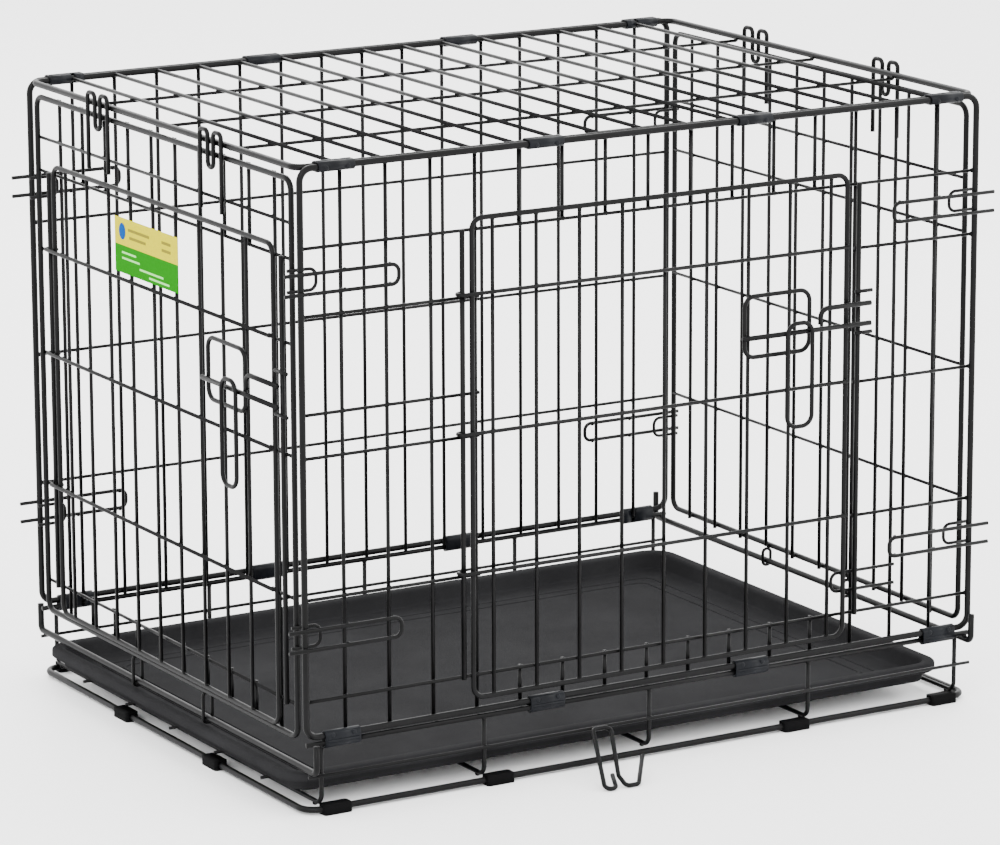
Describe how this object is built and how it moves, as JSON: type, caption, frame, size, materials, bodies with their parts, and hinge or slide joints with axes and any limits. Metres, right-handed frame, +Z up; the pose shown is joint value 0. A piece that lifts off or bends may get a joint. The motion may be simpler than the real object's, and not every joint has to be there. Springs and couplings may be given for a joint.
{
  "type": "folding wire dog crate",
  "caption": "Folding steel wire crate with a side door and an end door on slide-bolt latches, a lift-over floor basket, fold-in end panels and a slide-out plastic pan.",
  "frame": {"origin": "middle of the ground rectangle under the whole crate", "axes": "+X along the long sides away from the end door, -Y out of the side door, +Z up"},
  "size_m": [0.6354, 0.5294, 0.5032],
  "materials": {
    "black_wire": "satin black electro-coat",
    "clip_metal": "satin black",
    "pan_plastic": "fine leather grain",
    "foot_plastic": "matt",
    "tag_card": "smooth"
  },
  "bodies": {
    "crate": {"back_cross_wires": "black_wire", "back_frame": "black_wire", "back_lock_wires": "black_wire", "back_lower_clips": "clip_metal", "back_upper_clips": "clip_metal", "back_uprights": "black_wire", "basket_hinge_rails": "black_wire", "basket_side_wires": "black_wire", "end_feet": "foot_plastic", "floor_frame": "black_wire", "floor_hoops": "black_wire", "floor_long_wires": "black_wire", "front_bolt_keepers": "black_wire", "front_cross_wires": "black_wire", "front_door_jambs": "black_wire", "front_door_stop": "black_wire", "front_frame": "black_wire", "front_lock_wires": "black_wire", "front_lower_clips": "clip_metal", "front_upper_clips": "clip_metal", "front_uprights": "black_wire", "left_end_rail": "black_wire", "right_end_rail": "black_wire", "side_feet": "foot_plastic", "top_cross_wires": "black_wire", "top_frame": "black_wire", "top_long_wires": "black_wire"},
    "side_door": {"side_door_frame": "black_wire", "side_door_wires": "black_wire", "side_door_hinge_wires": "black_wire", "side_latch_guide": "black_wire"},
    "side_bolt": {"side_latch_bolt": "black_wire"},
    "side_handle": {"side_latch_handle": "black_wire"},
    "left_end": {"left_end_bolt_keepers": "black_wire", "left_end_catches": "black_wire", "left_end_cross_wires": "black_wire", "left_end_frame": "black_wire", "left_end_hinge_eyes": "black_wire", "left_end_jambs": "black_wire", "left_end_uprights": "black_wire"},
    "right_end": {"right_end_catches": "black_wire", "right_end_cross_wires": "black_wire", "right_end_frame": "black_wire", "right_end_hinge_eyes": "black_wire", "right_end_uprights": "black_wire"},
    "end_door": {"end_door_frame": "black_wire", "end_door_wires": "black_wire", "end_door_hinge_wires": "black_wire", "end_door_tag": "tag_card", "end_latch_guide": "black_wire"},
    "end_bolt": {"end_latch_bolt": "black_wire"},
    "end_handle": {"end_latch_handle": "black_wire"},
    "pan": {"pan": "pan_plastic"},
    "carry_hook": {"carry_hook": "black_wire"},
    "left_near_hook": {"left_near_hook": "black_wire"},
    "left_far_hook": {"left_far_hook": "black_wire"},
    "right_near_hook": {"right_near_hook": "black_wire"},
    "right_far_hook": {"right_far_hook": "black_wire"}
  },
  "joints": [
    {"name": "side_door_swing", "type": "hinge", "parent": "crate", "child": "side_door", "pos_m": [-0.167, -0.20217, 0.26], "axis": [0, 0, 1], "range_deg": [-150, 0]},
    {"name": "side_bolt_slide", "type": "slide", "parent": "side_door", "child": "side_bolt", "axis": [1, 0, 0], "range_m": [-0.03, 0]},
    {"name": "side_handle_swing", "type": "hinge", "parent": "side_bolt", "child": "side_handle", "pos_m": [0.128, -0.21374, 0.332], "axis": [1, 0, 0], "range_deg": [-95, 0]},
    {"name": "left_end_fold", "type": "hinge", "parent": "crate", "child": "left_end", "pos_m": [-0.299, 0.02605, 0.03502], "axis": [0, 1, 0], "range_deg": [0, 87]},
    {"name": "end_door_swing", "type": "hinge", "parent": "left_end", "child": "end_door", "pos_m": [-0.30442, 0.21605, 0.26], "axis": [0, 0, 1], "range_deg": [-150, 0]},
    {"name": "end_bolt_slide", "type": "slide", "parent": "end_door", "child": "end_bolt", "axis": [0, -1, 0], "range_m": [-0.03, 0]},
    {"name": "end_handle_swing", "type": "hinge", "parent": "end_bolt", "child": "end_handle", "pos_m": [-0.31599, -0.10895, 0.32], "axis": [0, -1, 0], "range_deg": [-95, 0]},
    {"name": "right_end_fold", "type": "hinge", "parent": "crate", "child": "right_end", "pos_m": [0.299, 0.02605, 0.05098], "axis": [0, -1, 0], "range_deg": [0, 80]},
    {"name": "pan_slide", "type": "slide", "parent": "crate", "child": "pan", "axis": [1, 0, 0], "range_m": [-0.45, 0]},
    {"name": "carry_hook_swing", "type": "hinge", "parent": "crate", "child": "carry_hook", "pos_m": [-0.039, -0.20622, 0.0312], "axis": [-1, 0, 0], "range_deg": [0, 115]},
    {"name": "left_near_hook_swing", "type": "hinge", "parent": "crate", "child": "left_near_hook", "pos_m": [-0.3023, -0.06895, 0.4928], "axis": [0, 1, 0], "range_deg": [0, 70]},
    {"name": "left_far_hook_swing", "type": "hinge", "parent": "crate", "child": "left_far_hook", "pos_m": [-0.3023, 0.12105, 0.4928], "axis": [0, 1, 0], "range_deg": [0, 70]},
    {"name": "right_near_hook_swing", "type": "hinge", "parent": "crate", "child": "right_near_hook", "pos_m": [0.3023, -0.06895, 0.4928], "axis": [0, -1, 0], "range_deg": [0, 70]},
    {"name": "right_far_hook_swing", "type": "hinge", "parent": "crate", "child": "right_far_hook", "pos_m": [0.3023, 0.12105, 0.4928], "axis": [0, -1, 0], "range_deg": [0, 70]}
  ]
}
